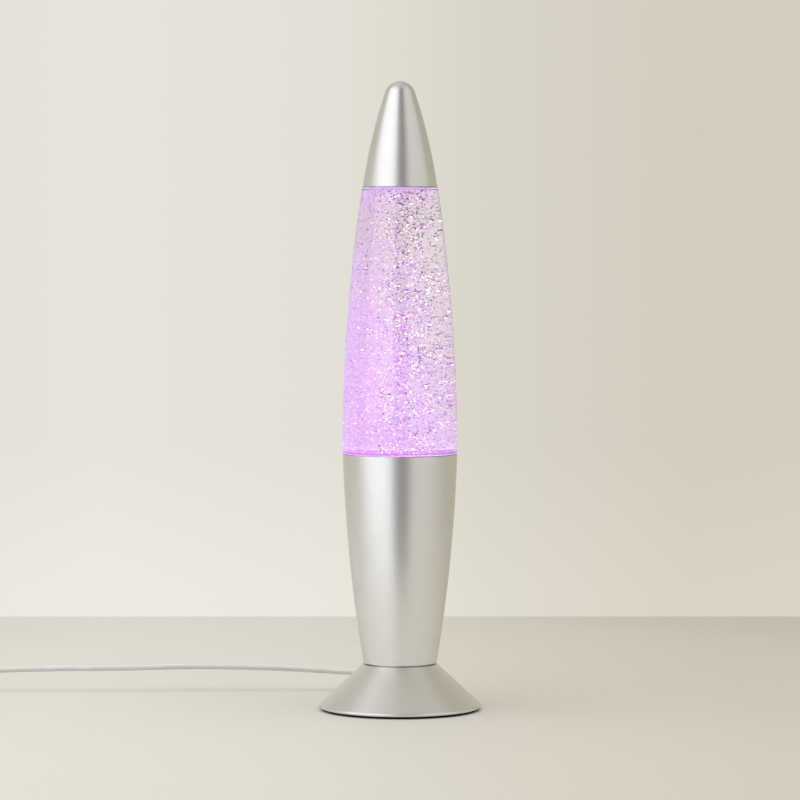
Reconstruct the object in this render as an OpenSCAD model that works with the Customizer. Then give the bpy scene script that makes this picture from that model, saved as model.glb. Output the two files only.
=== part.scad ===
// Liquid motion lamp: a glitter bottle on a lit, rocket-shaped metal base.
// Frame: millimetres, +Z up, origin on the table under the lamp's axis, front of the lamp towards -Y.

/* [Foot] */
// Thickness of the anti-slip pad that the lamp stands on
pad_t = 1.4; // [0.8:0.1:3]
// Radius of the hole in the pad
pad_hole_r = 22; // [16:1:30]
// Outer radius of the foot at its rolled rim
foot_r = 52.4; // [48:0.1:60]
// Height of the foot from its rim to its top plate
foot_h = 28.3; // [26:0.1:34]
// Radius of the foot at its top
foot_top_r = 24; // [22.5:0.1:26]
// Radius of the rolled bead along the foot's rim
foot_bead_r = 1.2; // [0.9:0.1:1.6]
// Sheet thickness of the foot
foot_wall = 1.2; // [0.8:0.1:1.6]
// Radius of the raised land that the cup stands on
land_r = 21; // [18:0.5:22]
// Height of that land, which is the shadow gap under the cup
land_h = 0.5; // [0.3:0.1:1.5]
// Thickness of the bottom cover's plate
cover_t = 2; // [1.5:0.1:3]
// Height of the raised hub in the bottom cover
cover_hub_h = 6.8; // [6.4:0.1:7]

/* [Cup] */
// Height of the cup from its floor to its rim
cup_h = 135.8; // [125:0.2:150]
// Outer radius of the cup at its floor
cup_floor_r = 23.6; // [22:0.1:26]
// Outer radius of the cup at its rim
cup_rim_r = 37; // [35:0.1:39]
// How far the cup's side bulges out from a straight cone
cup_bulge = 2.4; // [1.5:0.1:3.5]
// Sheet thickness of the cup
cup_wall = 1; // [0.8:0.1:1.4]
// Radius of the rounded edge round the cup's floor
cup_edge_r = 0.9; // [0.5:0.1:3]
// Radius of the rounded outer edge of the cup's rim
cup_lip_r = 0.8; // [0.4:0.1:0.9]

/* [Bottle] */
// Height of the glass that shows between the cup and the cap
glass_h = 172.1; // [150:0.1:190]
// Outer radius of the glass just above the cup
glass_base_r = 37.2; // [37:0.1:40]
// Outer radius of the glass just under the cap
glass_top_r = 24.4; // [24.2:0.1:26]
// How far the glass bulges out from a straight cone
glass_bulge = 3.2; // [2:0.1:4]
// Wall thickness of the glass
glass_t = 2.5; // [2:0.1:3.5]
// Thickness of the bottle's floor
glass_floor_t = 3; // [2:0.1:4]
// Depth of the bottle inside the cup
bottle_depth = 48.6; // [40:0.2:52]
// Radius of the rounded lower edge of the glass
glass_edge_r = 0.9; // [0.5:0.1:1.4]
// Radius of the rounded shoulder of the glass
shoulder_edge_r = 0.8; // [0.4:0.1:1.2]
// Outer radius of the bottle's neck
neck_r = 14; // [12.5:0.1:16]
// Height of the neck above the shoulder
neck_h = 22; // [18:0.5:26]
// Air left in the neck between the liquid and the stopper
air_gap = 4; // [2:0.5:6]
// Length of the stopper's plug in the neck
stopper_plug_h = 8; // [6:0.5:10]
// Thickness of the stopper's flange
stopper_flange_t = 2.5; // [1.5:0.1:4]
// Thickness of the seal under the stopper's flange
seal_t = 0.8; // [0.5:0.1:1.5]

/* [Cap] */
// Height of the top cap
cap_h = 67.9; // [64:0.1:80]
// Outer radius of the cap at its rim
cap_rim_r = 24.1; // [22.5:0.1:24.2]
// Radius of the cap's round tip
cap_tip_r = 10.1; // [8:0.1:11]
// How far the cap's side leans in at its rim, in degrees
cap_lean = 8.2; // [5:0.1:9]
// Sheet thickness of the cap
cap_wall = 1; // [0.8:0.1:1.4]
// Height of the ring inside the cap that centres it on the neck
cap_ring_h = 6; // [4:0.5:10]
// Height of that ring above the cap's rim
cap_ring_lift = 4; // [2:0.5:8]

/* [Glitter] */
// Number of flakes drawn in the liquid
flake_count = 150; // [50:10:150]
// Radius of a flake across its corners
flake_r = 0.9; // [0.6:0.1:1]
// Thickness of a flake
flake_t = 0.2; // [0.1:0.05:0.3]

/* [Drive and light] */
// Radius of the stirrer and of the drive disc under it
rotor_r = 9.5; // [8.5:0.1:10]
// Thickness of the stirrer's disc
stirrer_t = 4; // [3.6:0.1:5]
// Height of the stirrer's vanes
vane_h = 4; // [3:0.5:6]
// Thickness of a vane
vane_t = 1.4; // [1:0.1:2]
// Radius of the glass pip that the stirrer turns on
pip_r = 2; // [1.5:0.1:2.4]
// Height of that pip
pip_h = 3; // [2:0.1:3.2]
// Radius of each drive and stirrer magnet
magnet_r = 2.5; // [2:0.1:2.8]
// Distance of each magnet from the axis
magnet_offset = 6; // [5.6:0.1:6.2]
// Height of each magnet
magnet_h = 2.6; // [2:0.1:3]
// Thickness of the drive disc
drive_disc_t = 4.5; // [4:0.1:6]
// Radius of the motor's shaft
shaft_r = 1; // [0.8:0.1:1.2]
// Radius of the motor's case
motor_r = 12; // [11.5:0.1:12.3]
// Height of the motor's case
motor_h = 22; // [18:0.5:30]
// Outer radius of the light tray
tray_r = 29; // [28:0.1:29.8]
// Outer radius of the tray's column
column_r = 17; // [16.5:0.1:17.5]
// Wall thickness of the tray and its column
tray_wall = 2; // [1.5:0.1:2.2]
// Height of the space over the tray's plate that the lights and the drive disc turn in
light_space = 9; // [8.8:0.1:12]
// Thickness of the diffuser
diffuser_t = 1.6; // [1:0.1:2.5]
// Gap between the diffuser and the bottle
diffuser_gap = 1.8; // [1:0.1:4]
// Thickness of the light board
board_t = 1.6; // [1:0.1:2]
// Number of lights on the board
led_count = 6; // [4:1:8]
// Side of a light
led_side = 5; // [3.5:0.1:5.5]
// Height of a light
led_t = 1.6; // [1:0.1:2]

/* [Centre tube] */
// Radius of the threaded tube that clamps foot, cup and tray
tube_r = 5; // [4.5:0.1:5.5]
// Wall thickness of that tube
tube_wall = 1.5; // [1:0.1:1.8]
// Width of a tube nut across its flats
nut_flats = 14; // [13:0.1:15]
// Thickness of a tube nut
nut_t = 4; // [3:0.1:5]
// Radius of a washer
washer_r = 9; // [8.5:0.1:9.5]
// Thickness of a washer
washer_t = 1; // [0.6:0.1:1.5]

/* [Cord] */
// Diameter of the cord
cord_d = 3.6; // [3:0.1:3.7]
// Height of the cord where it leaves the foot
cord_exit_z = 12.4; // [12.2:0.1:14]
// Distance from the axis to the end of the strain relief
bush_end = 60; // [56:1:60]
// Radius of the strain relief's body in the foot
bush_r = 4.4; // [4:0.1:5]
// Radius of the strain relief's collars
bush_collar_r = 6.4; // [5.8:0.1:6.6]

/* [Switch on the cord] */
// Length of the switch
switch_l = 58; // [54:1:62]
// Width of the switch
switch_w = 20; // [19:0.5:24]
// Height of the switch
switch_h = 14; // [13.5:0.1:16]
// Wall thickness of the switch
switch_wall = 1.6; // [1.2:0.1:1.8]
// Length of the rocker
rocker_l = 16; // [14:0.5:17]
// Width of the rocker
rocker_w = 9.2; // [8:0.1:9.4]
// How far the rocker tilts to either side, in degrees
rocker_tilt = 10; // [6:1:11]
// Radius of the rocker's pin
pin_r = 0.95; // [0.7:0.05:1.1]

/* [Plug] */
// Length of the plug's grip
grip_l = 28; // [24:1:32]
// Width of the plug's grip
grip_w = 16; // [15:0.5:18]
// Height of the plug's grip
grip_h = 8.4; // [7.5:0.1:10]
// Width of the plug's metal shell
usb_w = 12; // [12:0.1:12.2]
// Height of the plug's metal shell
usb_h = 4.5; // [4.4:0.1:4.6]
// Length of the metal shell outside the grip
usb_l = 14; // [11:0.5:19]

/* [Hidden] */
$fn = 96;
arc_fn = 1440; // facets of the wide circles that shape the sides
seat_play = 0.3; // clearance between pieces that move apart
fit_play = 0.1; // clearance between pieces that are fixed together
run_play = 0.05; // radial clearance of a shaft or pin in its bore
liquid_play = 0.2; // clearance between the liquid and the glass
tube_play = 0.2; // radial clearance of the centre tube in its holes
press_play = 0.02; // radial clearance of a disc pressed on to its shaft
far = 200; // reach of a cutting shape past the lamp's radius
past = 1; // how far a cutting or joining shape reaches past a face
sink = 0.5; // how far a raised detail is sunk into what it stands on

// Heights of the stack
foot_z = pad_t;
foot_top_z = foot_z + foot_h;
cup_z = foot_top_z + land_h;
rim_z = cup_z + cup_h;
shoulder_z = rim_z + glass_h;
neck_z = shoulder_z + neck_h;
bottle_z = rim_z - bottle_depth;
bottle_floor_z = bottle_z + glass_floor_t;
liquid_top_z = neck_z - stopper_plug_h - air_gap;
diffuser_z = bottle_z - diffuser_gap - diffuser_t;
tray_plate_z = diffuser_z - light_space;
floor_t = 1.2; // thickness of the cup's floor
flange_t = 3; // thickness of the tray's flange
tray_z = cup_z + floor_t;

// Sides of the cup and the glass: lower point, upper point and bulge
cup_side = [[cup_floor_r, cup_z], [cup_rim_r, rim_z], cup_bulge];
glass_side = [[glass_base_r, rim_z], [glass_top_r, shoulder_z], glass_bulge];
insert_inset = cup_wall + seat_play;
bore_r = neck_r - glass_t;
seat_band = 0.6; // thick glass where the bottle rests on the cup's rim
blend_h = 1.2; // height over which the bottle's inside widens above the cup

// The cap's side is one arc that leans in at the rim and meets the round tip smoothly
cap_tip_z = cap_h - cap_tip_r;
cap_arc_r = (cap_rim_r ^ 2 + cap_tip_z ^ 2 - cap_tip_r ^ 2)
    / (2 * cap_rim_r * cos(cap_lean) - 2 * cap_tip_z * sin(cap_lean) - 2 * cap_tip_r);
cap_arc_c = [cap_rim_r - cap_arc_r * cos(cap_lean), -cap_arc_r * sin(cap_lean)];
cap_join_z = cap_tip_z + cap_tip_r * (cap_tip_z - cap_arc_c.y) / (cap_arc_r - cap_tip_r);

// The foot's slope runs from its top edge, tangent to the rolled bead
bead_c = [foot_r - foot_bead_r, foot_z + foot_bead_r];
slope_run = bead_c - [foot_top_r, foot_top_z];
slope_angle = atan2(slope_run.y, slope_run.x) + asin(foot_bead_r / norm(slope_run));
slope_n = [-sin(slope_angle), cos(slope_angle)];
slope_foot = bead_c + foot_bead_r * slope_n;
cover_r = foot_r - 2 * foot_bead_r - seat_play;
cover_wall_h = 2.2; // height of the cover's ring above its plate
cover_wall_t = 2; // thickness of that ring
pad_inset = 1; // how far the pad stays inside the cover's edge

// Centre tube
tube_hole_r = tube_r + tube_play;
hub_top_z = foot_z + cover_hub_h + cover_t;
low_washer_z = hub_top_z - cover_t - washer_t;
low_nut_z = low_washer_z - nut_t;
top_washer_z = tray_z + flange_t;
top_nut_z = top_washer_z + washer_t;
tube_stub = 1; // how far the tube stands out of its lower nut
tube_rise = 2.6; // how far it stands out of its upper nut
tube_z = low_nut_z - tube_stub;
tube_top_z = top_nut_z + nut_t + tube_rise;
hub_play = 1; // room round the washer in the cover's hub
hub_r = washer_r + hub_play;
port_r = 2.3; // hole in the tube's side for the cord's cores

// Drive and light
rotor_room = 2.5; // room round the drive disc in the light board
board_play = 0.6; // room between the board and the tray's wall
board_hole_r = rotor_r + rotor_room;
board_r = tray_r - tray_wall - board_play;
led_ring_r = (board_hole_r + board_r) / 2;
chip = [3.9, 4.9, 1.5]; // sides and height of the control chip
motor_z = tray_plate_z - tray_wall - motor_h;
boss_r = 4; // boss on the motor that centres it in the tray
boss_h = 1.2;
end_cap_t = 3; // end cap under the motor's case
end_cap_inset = 0.6;
tab_h = 4; // solder tabs under the end cap
tab_w = 2;
tab_t = 0.5;
tab_offset = 6;
motor_screw_r = 1.2;
motor_screw_l = 3.5; // length of a motor screw in the case
motor_screw_hole = 4; // depth of its hole
motor_screw_offset = 8;
screw_head_r = 2.2;
screw_head_t = 1.4;
slot_w = 0.6; // width and depth of a screw's slot
slot_l = 1.4 * screw_head_r;
shaft_lift = 2; // height of the shaft's lower end above the bottom of the case
drive_lift = 0.9; // gap between the motor's screws and the drive disc
drive_z = tray_plate_z + screw_head_t + drive_lift;
stirrer_lift = 0.4; // gap between the bottle's floor and the stirrer
stirrer_z = bottle_floor_z + stirrer_lift;
stirrer_room = 1; // room round the stirrer that is left out of the liquid
vane_in = 1; // distance of a vane from the axis
vane_out = 0.6; // distance of a vane from the stirrer's edge
lead_r = 0.6; // cores of the cord and wires of the motor
cord_sides = 8; // sides of the tubes drawn along a route
coil_sides = 6; // sides of the coil's tube
lead_ring_r = (column_r - tray_wall + motor_r) / 2;
lead_hole_r = 0.9; // holes for them in the tray
lead_spread = 20; // degrees between a lead and the plane of the cord
lead_angles = [90 - lead_spread, 90 + lead_spread, 270 - lead_spread, 270 + lead_spread];
lead_gap = 0.9; // half the distance between the two cores

// Strain relief
bush_y = foot_top_r + 4; // inner end of the strain relief
bush_tail_r = 2.7;
bush_neck_r = 3.7;
bush_tail_l = 14; // length of its tapered tail
bush_neck_y = bush_end - bush_tail_l;
groove_count = 3; // grooves round the tail
groove_w = 1.2;
groove_pitch = 3.2;
groove_floor = 0.35; // thickness left under the grooves, over the tail's end
groove_taper = 0.08; // and what each groove lies deeper than the last
inner_cord_gap = 1.5; // gap between the cord's end and the centre tube
inner_cord_end = tube_r + inner_cord_gap;

// Glitter
flake_margin = 6; // room between the flakes and the ends of the glass
flake_clear = 3; // room between the flakes and the glass's side
flake_step = 0.7548776662; // step of the even spread from the axis to the side
golden_angle = 137.508;
flake_tilts = [47, 73, 0]; // how each flake is turned further than the last

// Switch, which lies on the table behind and to the left of the lamp
switch_c = [-329, 93];
switch_split = switch_h / 2;
switch_corner_r = 6;
port_play = 0.15; // radial clearance of the cord in a port
boss_in = [8, 2.4]; // place of a screw boss from the switch's end and from its inner wall
boss_at = [switch_l / 2 - boss_in.x, switch_w / 2 - switch_wall - boss_in.y];
boss_or = 2.6;
screw_r = 1;
switch_screw_l = 2.5; // length of a screw in the upper shell
switch_head_r = 1.8;
rocker_sink = 3.6; // depth of the rocker's pin under the top of the switch
rocker_z = switch_h - rocker_sink;
rocker_hub_r = 2.2;
rocker_proud = 0.8; // how far the rocker's middle stands out of the switch
rocker_rise = 1.1; // rise of its ends as a share of what the tilt takes from them
rocker_end_t = 2; // depth of its ends under the middle
rocker_keel = 1.6; // depth of its hub under the pin
window_play = 1.5; // room at each end of the rocker
window_l = rocker_l + 2 * window_play;
window_w = rocker_w + 2 * seat_play;
cheek_t = 1.5; // cheeks that hold the pin
cheek_l = 10;
contact = [8, 3, 0.5]; // length, width and thickness of a contact
contact_x = 8; // distance of a contact from the middle of the switch
contact_up_x = 3; // place of its upright from its own middle
contact_up_h = 2.4;

// Coil of the cord's spare length, wound from the outside in and out again in four layers
coil_c = [-392, 68.15];
coil_in_r = 15.4;
coil_pitch = 4.2;
coil_layers = 4;
coil_turns = 2.25; // turns of one layer's spiral
coil_climb = 0.5; // turns in which the spiral reverses and climbs a layer
coil_z = 2.8;
coil_rings = 24; // rings in one turn
coil_out_r = coil_in_r + coil_pitch * coil_turns;
coil_all_turns = coil_layers * coil_turns + (coil_layers - 1) * coil_climb;
tie_t = 0.6; // band round the coil
tie_w = 4;
tie_play = 0.35;
tie_corner_r = 2;
tie_end_r = 1; // twisted end of the tie
tie_end_l = 7;

// Plug, which lies beside the coil
plug_x = -336;
plug_y = coil_c.y - coil_out_r;
grip_corner_r = 3;
plug_neck_l = 8; // tapered neck on the cord's side of the grip
plug_neck_t = 0.9;
plug_neck_step = 0.4;
plug_bore_l = 6;
usb_wall = 0.3;
usb_in = 5; // length of the shell held in the grip
notch = [2.2, 2.4]; // width and length of a notch in the shell
notch_x = 2.6;
notch_share = 0.45; // place of the notches along the open shell
tongue_share = 0.48; // height of the tongue as a share of the shell's inside
tongue_back = 0.6; // how far the tongue stays behind the shell's mouth

// Routes of the cord's free stretches
cord_run_route = [
    [0, bush_end, cord_exit_z], [0, 68, cord_exit_z], [-2, 76, cord_exit_z], [-8, 84, cord_exit_z],
    [-17, 91, cord_exit_z], [-28, 95.5, 12.4], [-40, 97.5, 12.8], [-58, 98, 13.8], [-75, 98, 14.8],
    [-90, 97.5, 15.4], [-108, 97.5, 15.9], [-124, 97.5, 16.1], [-140, 97, 16.2], [-156, 96.5, 16.1],
    [-172, 95, 15.8], [-188, 93.8, 15.6], [-204, 93.2, 15.5], [-220, 93.2, 15.4], [-236, 93.2, 15.2],
    [-252, 93, 14.9], [-266, 93, 14.4], [-276, 93, 13.4], [-284, 93, 11.6], [-290, 93, 9.6],
    [-295, 93, 8], [-300, 93, 7.1], [-307, 93, 7]
];
cord_link_route = [
    [-351, 93, 7], [-358, 93, 7], [-364, 93, 6.4], [-371, 93, 4.9], [-378, 93, 3.4], [-384, 93, 2.8],
    [-388.4, 93, 2.8]
];
cord_tail_route = [
    [-388.4, plug_y, 15.4], [-383, plug_y, 15.4], [-376, plug_y, 14.2], [-368, plug_y, 11.6],
    [-360, plug_y, 8.4], [-352, plug_y, 5.4], [-345, plug_y, 4.2], [-339, plug_y, 4.2]
];

// Arc from a lower to an upper point of a profile, bulging away from the axis
function arc_r(side) = let (c = norm(side[1] - side[0])) c * c / (8 * side[2]) + side[2] / 2;
function arc_c(side) =
    let (d = (side[1] - side[0]) / norm(side[1] - side[0]), n = [d.y, -d.x])
    (side[0] + side[1]) / 2 - n * (arc_r(side) - side[2]);
function side_r(side, z, inset = 0) =
    arc_c(side).x + sqrt((arc_r(side) - inset) ^ 2 - (z - arc_c(side).y) ^ 2);

// Half profile under an arc, between two heights
module side_2d(side, z0, z1, inset = 0) {
    intersection() {
        translate(arc_c(side)) circle(r = arc_r(side) - inset, $fn = arc_fn);
        translate([0, z0]) square([far, z1 - z0]);
    }
}

// What a rounded outer corner takes away, at the lower end of a side (up = 1) or at its upper end (up = -1)
module corner_cut_2d(side, z, r, up) {
    zc = z + up * r;
    xc = arc_c(side).x + sqrt((arc_r(side) - r) ^ 2 - (zc - arc_c(side).y) ^ 2);
    difference() {
        translate([xc, up > 0 ? z - r : zc]) square([3 * r, 2 * r]);
        translate([xc, zc]) circle(r = r);
    }
}

// Radius of the foot's slope at a height, measured the wall's depth inside it
function slope_r(z, inset = 0) = slope_foot.x + (z - slope_foot.y) / tan(slope_angle) - inset / slope_n.x;

// Round tube along a route, with its first and last faces square to it
function unit(v) = v / norm(v);
function tangents(p) = [
    for (i = [0 : len(p) - 1])
        let (before = unit(p[max(i, 1)] - p[max(i, 1) - 1]), j = min(i, len(p) - 2))
        unit(before + unit(p[j + 1] - p[j]))
];
function square_to(v, t) = unit(v - (v * t) * t);
function normals(t) = [
    for (i = 0, n = square_to(abs(t[0].z) < 0.9 ? [0, 0, 1] : [1, 0, 0], t[0]); i < len(t);
        i = i + 1, n = i < len(t) ? square_to(n, t[i]) : n) n
];
module tube_along(p, r, sides) {
    t = tangents(p);
    n = normals(t);
    rings = len(p);
    points = [
        for (i = [0 : rings - 1], k = [0 : sides - 1])
            let (a = 360 * k / sides) p[i] + r * (cos(a) * n[i] + sin(a) * cross(t[i], n[i]))
    ];
    walls = [
        for (i = [0 : rings - 2], k = [0 : sides - 1])
            let (a = i * sides + k, b = i * sides + (k + 1) % sides)
            each [[a, a + sides, b], [b, a + sides, b + sides]]
    ];
    ends = [
        for (k = [1 : sides - 2], at = [0, (rings - 1) * sides])
            at == 0 ? [0, k, k + 1] : [at, at + k + 1, at + k]
    ];
    polyhedron(points = points, faces = concat(walls, ends));
}

// Slab with round corners, standing on z = 0
module round_slab(l, w, h, r) {
    linear_extrude(h) {
        square([l - 2 * r, w], center = true);
        square([l, w - 2 * r], center = true);
        for (x = [-1, 1], y = [-1, 1]) translate([x * (l / 2 - r), y * (w / 2 - r)]) circle(r = r);
    }
}

module tube(r, hole, h) {
    difference() {
        cylinder(r = r, h = h);
        translate([0, 0, -past]) cylinder(r = hole, h = h + 2 * past);
    }
}

module along_y(y0, y1, r, r1 = undef) {
    translate([0, y0, 0]) rotate([-90, 0, 0]) cylinder(r1 = r, r2 = is_undef(r1) ? r : r1, h = y1 - y0);
}

module along_x(x0, x1, r) {
    translate([x0, 0, 0]) rotate([0, 90, 0]) cylinder(r = r, h = x1 - x0);
}

// Foot

module anti_slip_pad() {
    color("#1c1c1e") tube(cover_r - pad_inset, pad_hole_r, pad_t);
}

module bottom_cover() {
    wall_top_z = foot_z + cover_t + cover_wall_h;
    wall_r = slope_r(wall_top_z, foot_wall + fit_play);
    color("#242426") difference() {
        union() {
            translate([0, 0, foot_z]) cylinder(r = cover_r, h = cover_t);
            translate([0, 0, foot_z]) cylinder(r = hub_r + cover_t, h = hub_top_z - foot_z);
            translate([0, 0, foot_z + cover_t - sink])
                tube(wall_r, wall_r - cover_wall_t, cover_wall_h + sink);
        }
        translate([0, 0, foot_z - past]) cylinder(r = hub_r, h = hub_top_z - cover_t - foot_z + past);
        cylinder(r = tube_hole_r, h = far);
    }
}

module foot_profile_2d() {
    top = [foot_top_r, foot_top_z];
    translate(bead_c) circle(r = foot_bead_r);
    polygon([slope_foot, top, top - foot_wall * slope_n, slope_foot - foot_wall * slope_n]);
    translate([0, foot_top_z - foot_wall]) square([foot_top_r, foot_wall]);
    translate([0, foot_top_z - foot_wall]) square([land_r, foot_wall + land_h]);
}

module base_foot() {
    color("#c4c2ba") difference() {
        rotate_extrude() foot_profile_2d();
        cylinder(r = tube_hole_r, h = far);
        translate([0, 0, cord_exit_z]) along_y(bush_y, foot_r, bush_r + fit_play);
    }
}

// The space inside the foot's slope, or inside its wall for a negative depth
module foot_inside(depth) {
    rotate_extrude() polygon([
        [0, 0], [slope_r(0, -depth), 0], [slope_r(foot_top_z, -depth), foot_top_z], [0, foot_top_z]
    ]);
}

module cord_bush() {
    color("#e9e9ea") difference() {
        union() {
            translate([0, 0, cord_exit_z]) {
                along_y(bush_y, bush_neck_y, bush_r);
                along_y(bush_neck_y, bush_end, bush_neck_r, bush_tail_r);
            }
            difference() {
                translate([0, 0, cord_exit_z]) along_y(bush_y, bush_neck_y, bush_collar_r);
                foot_inside(fit_play);
            }
            intersection() {
                translate([0, 0, cord_exit_z]) along_y(bush_y, bush_neck_y, bush_collar_r);
                foot_inside(-foot_wall - fit_play);
            }
        }
        translate([0, 0, cord_exit_z]) along_y(0, far, cord_d / 2 + fit_play);
        for (i = [1 : groove_count])
            translate([0, bush_neck_y + groove_pitch * i, cord_exit_z]) rotate([-90, 0, 0])
                tube(bush_neck_r + past, bush_tail_r + groove_floor - groove_taper * i, groove_w);
    }
}

module inner_cord() {
    color("#ececee") translate([0, 0, cord_exit_z]) along_y(inner_cord_end, bush_end, cord_d / 2);
}

// Cup and centre tube

module base_cup() {
    color("#cfcdc8") rotate_extrude() difference() {
        side_2d(cup_side, cup_z, rim_z);
        corner_cut_2d(cup_side, cup_z, cup_edge_r, 1);
        corner_cut_2d(cup_side, rim_z, cup_lip_r, -1);
        side_2d(cup_side, cup_z + floor_t, rim_z + past, cup_wall);
        translate([0, cup_z - past]) square([tube_hole_r, floor_t + 2 * past]);
    }
}

module centre_tube() {
    color("#d8c27a") difference() {
        translate([0, 0, tube_z]) tube(tube_r, tube_r - tube_wall, tube_top_z - tube_z);
        translate([0, 0, cord_exit_z]) along_y(0, tube_r + past, port_r);
    }
}

module tube_nuts() {
    color("#b9bbbe") for (z = [low_nut_z, top_nut_z]) translate([0, 0, z]) difference() {
        cylinder(d = nut_flats / cos(30), h = nut_t, $fn = 6);
        translate([0, 0, -past]) cylinder(r = tube_r + run_play, h = nut_t + 2 * past);
    }
}

module tube_washers() {
    color("#a9abae") for (z = [low_washer_z, top_washer_z])
        translate([0, 0, z]) tube(washer_r, tube_hole_r, washer_t);
}

// Light tray, motor and lights

module light_tray() {
    color("#f2f2ef") difference() {
        union() {
            translate([0, 0, tray_z]) cylinder(r = column_r, h = tray_plate_z - tray_z);
            translate([0, 0, tray_plate_z - tray_wall])
                cylinder(r = tray_r, h = tray_wall + light_space + diffuser_t);
        }
        translate([0, 0, tray_z + flange_t])
            cylinder(r = column_r - tray_wall, h = tray_plate_z - tray_wall - tray_z - flange_t);
        translate([0, 0, tray_plate_z]) cylinder(r = tray_r - tray_wall, h = light_space + past);
        translate([0, 0, diffuser_z]) cylinder(r = tray_r - tray_wall / 2, h = diffuser_t + past);
        cylinder(r = tube_hole_r, h = tray_z + flange_t + past);
        translate([0, 0, tray_plate_z - tray_wall - past]) {
            cylinder(r = boss_r + fit_play, h = tray_wall + 2 * past);
            for (x = [-1, 1]) translate([x * motor_screw_offset, 0, 0])
                cylinder(r = motor_screw_r + fit_play, h = tray_wall + 2 * past);
            for (a = lead_angles) rotate(a) translate([lead_ring_r, 0, 0])
                cylinder(r = lead_hole_r, h = tray_wall + 2 * past);
        }
    }
}

module motor_case() {
    color("#aeb0b3") difference() {
        union() {
            translate([0, 0, motor_z]) cylinder(r = motor_r, h = motor_h);
            translate([0, 0, motor_z + motor_h]) cylinder(r = boss_r, h = boss_h);
        }
        translate([0, 0, motor_z - past]) cylinder(r = shaft_r + run_play, h = motor_h + boss_h + 2 * past);
        for (x = [-1, 1]) translate([x * motor_screw_offset, 0, motor_z + motor_h - motor_screw_hole])
            cylinder(r = motor_screw_r + run_play, h = motor_screw_hole + past);
    }
}

module motor_end_cap() {
    color("#303236") translate([0, 0, motor_z - end_cap_t]) {
        cylinder(r = motor_r - end_cap_inset, h = end_cap_t);
        for (x = [-1, 1]) translate([x * tab_offset - tab_t / 2, -tab_w / 2, -tab_h])
            cube([tab_t, tab_w, tab_h + past]);
    }
}

module motor_screws() {
    color("#9a9ca0") for (x = [-1, 1]) translate([x * motor_screw_offset, 0, 0]) {
        translate([0, 0, tray_plate_z - tray_wall - motor_screw_l])
            cylinder(r = motor_screw_r, h = tray_wall + motor_screw_l + sink);
        difference() {
            translate([0, 0, tray_plate_z]) cylinder(r = screw_head_r, h = screw_head_t);
            translate([0, 0, tray_plate_z + screw_head_t]) rotate(45)
                cube([slot_l, slot_w, 2 * slot_w], center = true);
        }
    }
}

module motor_shaft() {
    low_z = motor_z + shaft_lift;
    color("#d0d2d5") translate([0, 0, low_z]) cylinder(r = shaft_r, h = drive_z + drive_disc_t - low_z);
}

// Places the two magnets of a rotor at a height
module at_magnets(z) {
    for (x = [-1, 1]) translate([x * magnet_offset, 0, z]) children();
}

module drive_disc() {
    color("#2b4f8c") difference() {
        translate([0, 0, drive_z]) cylinder(r = rotor_r, h = drive_disc_t);
        translate([0, 0, drive_z - past]) cylinder(r = shaft_r + press_play, h = drive_disc_t + 2 * past);
        at_magnets(drive_z + drive_disc_t - magnet_h)
            cylinder(r = magnet_r + run_play, h = magnet_h + past);
    }
}

module drive_magnets() {
    color("#c9cbd0") at_magnets(drive_z + drive_disc_t - magnet_h) cylinder(r = magnet_r, h = magnet_h);
}

module led_board() {
    color("#f4f4f0") translate([0, 0, tray_plate_z]) tube(board_r, board_hole_r, board_t);
}

module leds() {
    color("#efe3b8") for (i = [0 : led_count - 1]) rotate(360 * i / led_count)
        translate([led_ring_r, 0, tray_plate_z + board_t + led_t / 2])
            cube([led_side, led_side, led_t], center = true);
}

module control_chip() {
    color("#202124") rotate(180 / led_count) translate([led_ring_r, 0, tray_plate_z + board_t + chip.z / 2])
        cube(chip, center = true);
}

module diffuser() {
    color("#f6f0fb") translate([0, 0, diffuser_z])
        cylinder(r = tray_r - tray_wall / 2 - fit_play, h = diffuser_t);
}

// The two cores of the cord: in at the tube's port, up its bore and on to the underside of the light board
module cord_leads() {
    for (s = [-1, 1]) {
        side = [s * lead_ring_r * sin(lead_spread), lead_ring_r * cos(lead_spread)];
        color(s < 0 ? "#c8281e" : "#1b1b1d") tube_along([
            [s * lead_gap, inner_cord_end, cord_exit_z], [s * lead_gap, tube_r - 1, cord_exit_z],
            [s * lead_gap, 1.5, cord_exit_z + 1.2], [s * lead_gap, 0, cord_exit_z + 3.6],
            [s * lead_gap, 0, cord_exit_z + 6], [s * lead_gap, 0, tube_top_z],
            [s * lead_gap, 0, tube_top_z + 4], [s * 2.4, 5, tube_top_z + 12],
            [side.x, side.y, tube_top_z + 20], [side.x, side.y, tube_top_z + 26],
            [side.x, side.y, tray_plate_z]
        ], lead_r, cord_sides);
    }
}

// The motor's two wires: from its tabs out to the column's wall and up beside the case to the light board
module motor_leads() {
    tab_z = motor_z - end_cap_t - tab_h;
    for (s = [-1, 1]) {
        side = [s * lead_ring_r * sin(lead_spread), -lead_ring_r * cos(lead_spread)];
        color(s < 0 ? "#d9d23a" : "#3a6fd9") tube_along([
            [s * tab_offset, 0, tab_z], [s * tab_offset, 0, tab_z - 2], [s * tab_offset, -2, tab_z - 5],
            [s * tab_offset, -5, tab_z - 6], [side.x, -9.5, tab_z - 5], [side.x, side.y, tab_z - 1],
            [side.x, side.y, tab_z + 4], [side.x, side.y, tray_plate_z]
        ], lead_r, cord_sides);
    }
}

// Bottle and what it holds

module bottle_outside_2d() {
    side_2d(cup_side, bottle_z, rim_z, insert_inset);
    difference() {
        side_2d(glass_side, rim_z, shoulder_z);
        corner_cut_2d(glass_side, rim_z, glass_edge_r, 1);
        corner_cut_2d(glass_side, shoulder_z, shoulder_edge_r, -1);
    }
    translate([0, shoulder_z - past]) square([neck_r, neck_h + past]);
}

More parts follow.
